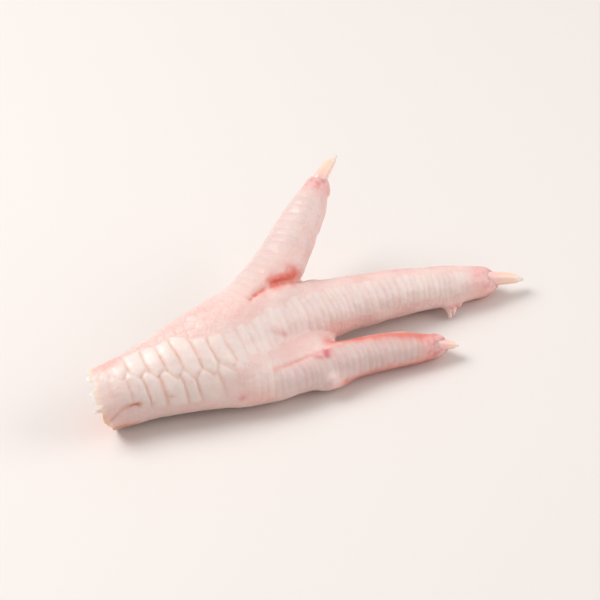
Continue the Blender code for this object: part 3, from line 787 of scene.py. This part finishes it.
def claw_rings(limb, size, grow, sides, count):
    """Rings of a claw that leaves the end of a toe and bends down, grown on all sides."""
    turns = np.arange(sides) * 2 * np.pi / sides
    rings = []
    for share in np.linspace(0, 1, count):
        middle, radius = claw_line(limb, size, share)
        middle = middle + limb.ahead[-1] * grow * (2 * share - 1)
        radius = radius + grow
        rings.append(middle + np.outer(np.sin(turns) * radius * CLAW_FLAT, limb.side[-1])
                     + np.outer(np.cos(turns) * radius, limb.back[-1]))
    return rings


def claw_gap(points, limb, size):
    """How far each point lies outside a claw."""
    best = np.full(len(points), np.inf)
    for share in np.linspace(0, 1, 40):
        middle, radius = claw_line(limb, size, share)
        best = np.minimum(best, np.linalg.norm(points - middle, axis=1) - radius)
    return best


def rough_body(limbs):
    """The limbs as plain tubes, fused into one closed body by a voxel remesh."""
    mesh = bmesh.new()
    for limb in limbs.values():
        add_tube(mesh, limb.rings(LIMB_SIDES))
    body = add_piece("skin", mesh)
    remesh = body.modifiers.new("Fuse", "REMESH")
    remesh.mode = "VOXEL"
    remesh.voxel_size = VOXEL * MM
    settle(body)
    return body


def make_skin(limbs):
    """The skin: fused limbs on the smooth form, with relief raised, ends cut and masks kept."""
    body = rough_body(limbs)
    points = get_points(body.data)
    for _ in range(SETTLE_ROUNDS):
        distance, way, _, _ = join_field(points, limbs)
        points -= way * np.clip(distance, -SETTLE_STEP, SETTLE_STEP)[:, None]
    surface = Surface(points, limbs)
    points = points + surface.way * surface.height[:, None]
    points[:, 2] = np.maximum(points[:, 2], 0)
    set_points(body.data, points)
    cutters = [cut_block(), loft("pocket", core_rings(limbs["shank"], FIT, POCKET_START))]
    for name, (toe, *size) in CLAWS.items():
        cutters.append(loft(name + "_socket", claw_rings(limbs[toe], size, FIT, *SOCKET_MESH)))
    cut_away(body, cutters)
    body.data.shade_smooth()
    body.data.set_sharp_from_angle(angle=SHARP_ANGLE)
    mask_skin(body.data, limbs)
    return body


def mask_skin(data, limbs):
    """Keeps on the skin's points what its material needs to know."""
    points = get_points(data)
    masks = Surface(points, limbs).masks
    from_cut = points[:, 0] - cut_place(points[:, 1], points[:, 2])
    masks["rim"] = bell(np.maximum(from_cut, 0), RIM)
    masks["rag"] = 1 - ramp(from_cut, *RAG_WHITE)
    masks["inside"] = (1 - ramp(join_field(points, limbs)[0], *INSIDE)) * (1 - masks["rag"])
    for name, values in masks.items():
        set_mask(data, name, np.clip(values, 0, 1))


def paint(red, green, blue):
    """A colour given as it looks on a screen, from 0 to 255, as the shader's numbers."""
    shown = np.array([red, green, blue]) / 255
    linear = np.where(shown <= 0.04045, shown / 12.92, ((shown + 0.055) / 1.055) ** 2.4)
    return (*linear, 1.0)


class Paint:
    """A material's node tree, with short calls for the nodes used here."""

    def __init__(self, name):
        self.material = bpy.data.materials.new(name)
        self.material.use_nodes = True
        self.tree = self.material.node_tree
        self.shader = self.tree.nodes["Principled BSDF"]
        self.place = self.tree.nodes.new("ShaderNodeTexCoord").outputs["Object"]

    def put(self, value, socket):
        """Links an output to a socket, or sets the socket to a value."""
        if isinstance(value, bpy.types.NodeSocket):
            self.tree.links.new(value, socket)
        else:
            socket.default_value = value

    def mask(self, name):
        node = self.tree.nodes.new("ShaderNodeAttribute")
        node.attribute_name = name
        return node.outputs["Fac"]

    def math(self, operation, one, two=0.0):
        node = self.tree.nodes.new("ShaderNodeMath")
        node.operation = operation
        node.use_clamp = True
        self.put(one, node.inputs[0])
        self.put(two, node.inputs[1])
        return node.outputs[0]

    def mix(self, share, one, two):
        """Colour one, with two over it by share."""
        node = self.tree.nodes.new("ShaderNodeMix")
        node.data_type = "RGBA"
        self.put(share, node.inputs[0])
        self.put(one, node.inputs[6])
        self.put(two, node.inputs[7])
        return node.outputs[2]

    def blend(self, share, one, two):
        """Number one, with two over it by share."""
        node = self.tree.nodes.new("ShaderNodeMix")
        self.put(share, node.inputs[0])
        self.put(one, node.inputs[2])
        self.put(two, node.inputs[3])
        return node.outputs[0]

    def noise(self, size, detail=3.0, stretch=(1, 1, 1)):
        """Noise with features about size millimetres wide."""
        scale = self.tree.nodes.new("ShaderNodeMapping")
        scale.inputs["Scale"].default_value = stretch
        self.tree.links.new(self.place, scale.inputs["Vector"])
        node = self.tree.nodes.new("ShaderNodeTexNoise")
        node.inputs["Scale"].default_value = 1 / (size * MM)
        node.inputs["Detail"].default_value = detail
        self.tree.links.new(scale.outputs["Vector"], node.inputs["Vector"])
        return node.outputs["Fac"]

    def cells(self, size):
        """Distance from the middle of cells about size millimetres wide."""
        node = self.tree.nodes.new("ShaderNodeTexVoronoi")
        node.inputs["Scale"].default_value = 1 / (size * MM)
        self.tree.links.new(self.place, node.inputs["Vector"])
        return node.outputs["Distance"]

    def steps(self, value, low, high):
        """Runs smoothly from 0 at low to 1 at high."""
        node = self.tree.nodes.new("ShaderNodeMapRange")
        node.interpolation_type = "SMOOTHSTEP"
        node.inputs["From Min"].default_value = low
        node.inputs["From Max"].default_value = high
        self.put(value, node.inputs["Value"])
        return node.outputs["Result"]

    def bump(self, heights):
        """Bumps from pairs of a height and its size in millimetres."""
        normal = None
        for height, size in heights:
            node = self.tree.nodes.new("ShaderNodeBump")
            node.inputs["Distance"].default_value = size * MM
            self.put(height, node.inputs["Height"])
            if normal is not None:
                self.tree.links.new(normal, node.inputs["Normal"])
            normal = node.outputs["Normal"]
        self.tree.links.new(normal, self.shader.inputs["Normal"])

    def flesh(self, weight, radius, scale):
        """Lets light into the material: how much, how far each colour goes, and a scale in millimetres."""
        self.shader.inputs["Subsurface Weight"].default_value = weight
        self.shader.inputs["Subsurface Radius"].default_value = radius
        self.shader.inputs["Subsurface Scale"].default_value = scale * MM

    def wet(self, weight, roughness):
        self.shader.inputs["Coat Weight"].default_value = weight
        self.shader.inputs["Coat Roughness"].default_value = roughness

    def finish(self, colour, roughness):
        self.put(colour, self.shader.inputs["Base Color"])
        self.put(roughness, self.shader.inputs["Roughness"])
        return self.material


def skin_paint():
    """Pale moist skin: creamy scutes, greyer bands, pink between them; painted shade darkens the shank's
    lower side and the toes, and painted red shade and reflected light lie in the folds and along the outer
    toe.
    """
    p = Paint("skin")
    groove, plate, tone = p.mask("groove"), p.mask("plate"), p.mask("tone")
    broad = p.noise(9.0, 2.0)
    fine = p.noise(1.3, 4.0)
    colour = p.mix(p.steps(broad, 0.35, 0.65), paint(243, 217, 210), paint(238, 203, 195))
    pale = p.mix(tone, paint(246, 231, 222), paint(238, 220, 212))
    colour = p.mix(p.math("MULTIPLY", plate, 0.85), colour, pale)
    # Painted shade on the shank's lower side and on the toes, mixed with the bands' own greyish tone.
    colour = p.mix(p.math("MULTIPLY", p.mask("grey_and_shade"), 0.8), colour, paint(217, 188, 183))
    flush = p.math("MULTIPLY", p.mask("flush"), p.blend(fine, 0.7, 1.3))
    colour = p.mix(flush, colour, paint(240, 172, 160))
    colour = p.mix(p.math("MULTIPLY", groove, 0.58), colour, paint(226, 162, 138))
    blotch = p.steps(p.noise(3.2, 3.0), 0.56, 0.72)
    colour = p.mix(p.math("MULTIPLY", blotch, 0.18), colour, paint(230, 168, 164))
    # Red: painted red shade and reflected light in the folds and round the outer toe, and the skin's own
    # red in a few places.
    colour = p.mix(p.mask("red"), colour, paint(222, 88, 62))
    tender = p.mix(p.steps(p.noise(1.8, 2.0), 0.42, 0.68), paint(240, 186, 184), paint(218, 122, 124))
    colour = p.mix(p.math("MULTIPLY", p.mask("cuticle"), 0.6), colour, tender)
    colour = p.mix(p.mask("violet"), colour, paint(206, 80, 102))
    colour = p.mix(p.math("MULTIPLY", p.mask("rim"), 0.6), colour, paint(250, 230, 208))
    colour = p.mix(p.math("MULTIPLY", p.mask("rag"), 0.85), colour, paint(253, 246, 240))
    colour = p.mix(p.mask("orange"), colour, paint(216, 130, 78))
    colour = p.mix(p.mask("inside"), colour, paint(226, 132, 114))
    wet = p.steps(p.noise(4.0, 2.0), 0.4, 0.7)
    roughness = p.blend(wet, 0.5, 0.36)
    roughness = p.math("SUBTRACT", roughness, p.math("MULTIPLY", plate, 0.04))
    grain = p.math("MULTIPLY", p.cells(1.0), p.blend(plate, 1.0, 0.2))
    p.bump([(grain, 0.09), (fine, 0.07), (p.noise(0.35, 2.0), 0.02)])
    p.flesh(0.3, (1.0, 0.36, 0.22), 1.8)
    p.wet(0.2, 0.17)
    return p.finish(colour, roughness)


def claw_paint():
    """Ivory horn, pink where the quick shines through, clearer at the tip, finely streaked."""
    p = Paint("claw")
    along = p.mask("along")
    streak = p.noise(0.5, 3.0, (0.15, 1, 1))
    colour = p.mix(p.steps(along, -0.3, 0.25), paint(252, 204, 194), paint(255, 217, 195))
    colour = p.mix(p.steps(along, 0.45, 0.75), colour, paint(248, 230, 218))
    colour = p.mix(p.math("MULTIPLY", p.steps(streak, 0.45, 0.7), 0.2), colour, paint(240, 198, 176))
    p.bump([(streak, 0.05)])
    p.flesh(0.2, (1.0, 0.55, 0.35), 0.8)
    p.wet(0.4, 0.1)
    return p.finish(colour, p.blend(streak, 0.22, 0.4))


def flesh_paint():
    """Wet red-pink tissue with pale strands."""
    p = Paint("flesh")
    strand = p.noise(0.8, 4.0, (0.4, 1, 1))
    colour = p.mix(p.noise(2.2, 3.0), paint(176, 52, 48), paint(214, 104, 92))
    colour = p.mix(p.math("MULTIPLY", p.steps(strand, 0.5, 0.68), 0.75), colour, paint(236, 200, 182))
    colour = p.mix(p.mask("pale"), colour, paint(240, 216, 196))
    p.bump([(strand, 0.25), (p.noise(0.4, 2.0), 0.08)])
    p.flesh(0.3, (1.0, 0.3, 0.2), 1.5)
    p.wet(0.5, 0.12)
    return p.finish(colour, p.blend(strand, 0.25, 0.45))


def make_claw(name, limb, size):
    """A claw with its ridges and a worn, slightly hooked tip."""
    sides, count = CLAW_MESH
    rings = claw_rings(limb, size, 0, sides, count)
    turns = np.arange(sides) * 2 * np.pi / sides
    length, depth = size[:2]
    high, number, twist = CLAW_RIDGES
    flat, reach = CLAW_SOLE
    start, full, end = CLAW_WORN
    for k, ring in enumerate(rings):
        share = k / (count - 1)
        middle = ring.mean(axis=0)
        ridges = 1 + high * np.sin(number * turns + twist * share)
        ridges = ridges - flat * bell(np.abs(turns - np.pi), reach)
        wear = 1 + unevenness(ring, *CLAW_NOISE)
        worn = CLAW_WEAR * ramp(share, start, full) * (1 - ramp(share, full, end))
        radius = np.linalg.norm(ring - middle, axis=1).mean()
        sunk = limb.back[-1] * radius * worn * CLAW_DROP
        rings[k] = middle - sunk + (ring - middle) * (ridges * wear * (1 - worn))[:, None]
    claw = loft(name, rings)
    share = np.linspace(0, 1, count)
    set_mask(claw.data, "along", np.repeat((share * (depth + length) - depth) / length, sides))
    return claw


def make_core(limb):
    """The tissue in the cut: a plug with an uneven, stranded end and paler tendon ends."""
    sides, count = CORE_MESH
    rings = core_rings(limb, -0.02, 0, sides)
    front = rings[0]
    middle = front.mean(axis=0)
    face = []
    for part in np.linspace(0.02, 1, count):
        ring = middle + (front - middle) * part
        depth = sum(unevenness(ring, *layer) for layer in CORE_NOISE)
        ring[:, 0] += (depth + CORE_BULGE * (1 - part ** 2)) * ramp(1 - part, 0, CORE_EDGE)
        face.append(ring)
    core = loft("cut_flesh", face + rings[1:])
    points = get_points(core.data)
    pale = np.zeros(len(points))
    for y, z, reach in TENDONS:
        gap = np.hypot(points[:, 1] - y, points[:, 2] - z)
        raised = bell(gap, reach)
        near_end = points[:, 0] < CUT_MIDDLE[0] + CORE_START
        points[:, 0] -= TENDON_HEIGHT * raised * near_end
        pale = np.maximum(pale, raised ** TENDON_TINT * near_end)
    set_points(core.data, points)
    set_mask(core.data, "pale", pale)
    return core


def add_stage():
    """A plain pale floor, soft light and the camera."""
    mesh = bmesh.new()
    bmesh.ops.create_grid(mesh, x_segments=1, y_segments=1, size=FLOOR_HALF)
    data = bpy.data.meshes.new("floor")
    mesh.to_mesh(data)
    mesh.free()
    floor = bpy.data.objects.new("floor", data)
    bpy.context.scene.collection.objects.link(floor)
    p = Paint("floor")
    floor.data.materials.append(p.finish(paint(232, 225, 220), 0.55))
    world = bpy.data.worlds.new("studio")
    world.use_nodes = True
    background = world.node_tree.nodes["Background"]
    background.inputs["Color"].default_value, background.inputs["Strength"].default_value = WORLD
    bpy.context.scene.world = world
    bpy.context.scene.view_settings.view_transform = "Standard"
    for name, light in LIGHTS.items():
        add_light(name, *light)
    lens = bpy.data.cameras.new("camera")
    lens.lens = CAMERA_LENS
    camera = bpy.data.objects.new("camera", lens)
    camera.location = CAMERA_PLACE
    look = Vector(CAMERA_AIM) - Vector(CAMERA_PLACE)
    camera.rotation_euler = look.to_track_quat("-Z", "Y").to_euler()
    bpy.context.scene.collection.objects.link(camera)
    bpy.context.scene.camera = camera


def add_light(name, place, size, power, colour):
    data = bpy.data.lights.new(name, "AREA")
    data.size = size
    data.energy = power
    data.color = colour
    light = bpy.data.objects.new(name, data)
    light.location = place
    light.rotation_euler = (-Vector(place)).to_track_quat("-Z", "Y").to_euler()
    bpy.context.scene.collection.objects.link(light)


def dress(thing, material, slot, *nodes):
    """Gives a piece its material and its body, and hides the construction's nodes that it stands for; the
    slot is not used.
    """
    thing.data.materials.clear()
    thing.data.materials.append(material)
    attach(thing, "root")
    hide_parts(*nodes)


def main():
    limbs = {name: Limb(rows, ROLLS[name]) for name, rows in LIMBS.items()}
    shreds = {name: Limb(rows, (0, 0), 0.6) for name, rows in SHREDS.items()}
    add_stage()
    dress(make_skin(limbs | shreds), skin_paint(), "skin", "foot")
    horn = claw_paint()
    for name, (toe, *size) in CLAWS.items():
        dress(make_claw(name + "_horn", limbs[toe], size), horn, "claw", name)
    dress(make_core(limbs["shank"]), flesh_paint(), "flesh", "shank_core")


main()
